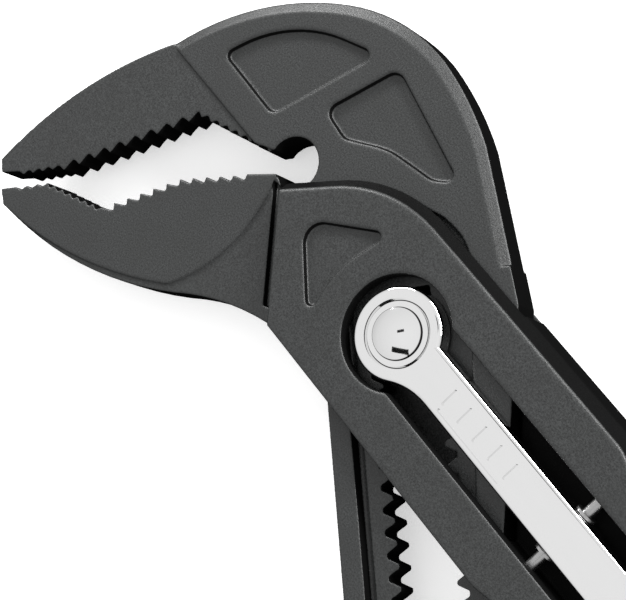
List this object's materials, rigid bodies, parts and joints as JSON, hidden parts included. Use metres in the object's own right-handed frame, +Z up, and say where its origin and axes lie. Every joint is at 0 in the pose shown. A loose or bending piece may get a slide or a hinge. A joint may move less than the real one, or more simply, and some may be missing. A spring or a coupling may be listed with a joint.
{
  "type": "tongue and groove pliers",
  "caption": "Self-adjusting tongue and groove pliers with a toothed slot, a chromed release lever in one handle and serrated jaws.",
  "frame": {"origin": "foot of the pivot axis on the resting face of the back cheek", "axes": "+X along the channelled handle away from the jaws, +Z up out of the front cheek, the jaws towards -X"},
  "size_m": [0.2533, 0.1377, 0.0154],
  "materials": {
    "forged": "fine grained dark phosphate",
    "chrome": "polished",
    "steel": "plain",
    "grip_hard": "fine texture",
    "grip_soft": "soft matte"
  },
  "bodies": {
    "channel_half": {"lower_jaw_half": "forged", "back_cap": "steel", "lever_pin": "steel", "lever_shims": "steel", "spring_seat": "steel", "lever_spring": "steel", "lower_grip_sleeve": "grip_hard", "lower_grip_inlay": "grip_soft"},
    "slide_guide": {"slide_block": "steel"},
    "sliding_half": {"upper_jaw_half": "forged", "upper_grip_sleeve": "grip_hard", "upper_grip_inlay": "grip_soft"},
    "lock": {"lock_bolt": "steel", "button_cap": "chrome", "retaining_ring": "chrome", "bolt_clip": "steel", "bolt_spring": "steel"},
    "lever": {"release_lever": "chrome"}
  },
  "joints": [
    {"name": "jaw_pivot", "type": "hinge", "parent": "channel_half", "child": "slide_guide", "pos_m": [0, 0, 0], "axis": [0, 0, 1], "range_deg": [-20, 1]},
    {"name": "jaw_adjust", "type": "slide", "parent": "slide_guide", "child": "sliding_half", "axis": [-0.8241, 0.5664, 0], "range_m": [0, 0.0468]},
    {"name": "lever_press", "type": "hinge", "parent": "channel_half", "child": "lever", "pos_m": [0.045, 0, 0.0114], "axis": [0, 1, 0], "range_deg": [0, 4], "stiffness_Nm_per_rad": 4, "springref_deg": -2.86, "deforming": ["lever_spring"]},
    {"name": "bolt_lift", "type": "slide", "parent": "slide_guide", "child": "lock", "axis": [0, 0, 1], "range_m": [0, 0.0036], "deforming": ["bolt_spring"]}
  ],
  "couplings": [
    {"joint": "bolt_lift", "follows": "lever_press", "m_per_rad": 0.0507}
  ]
}
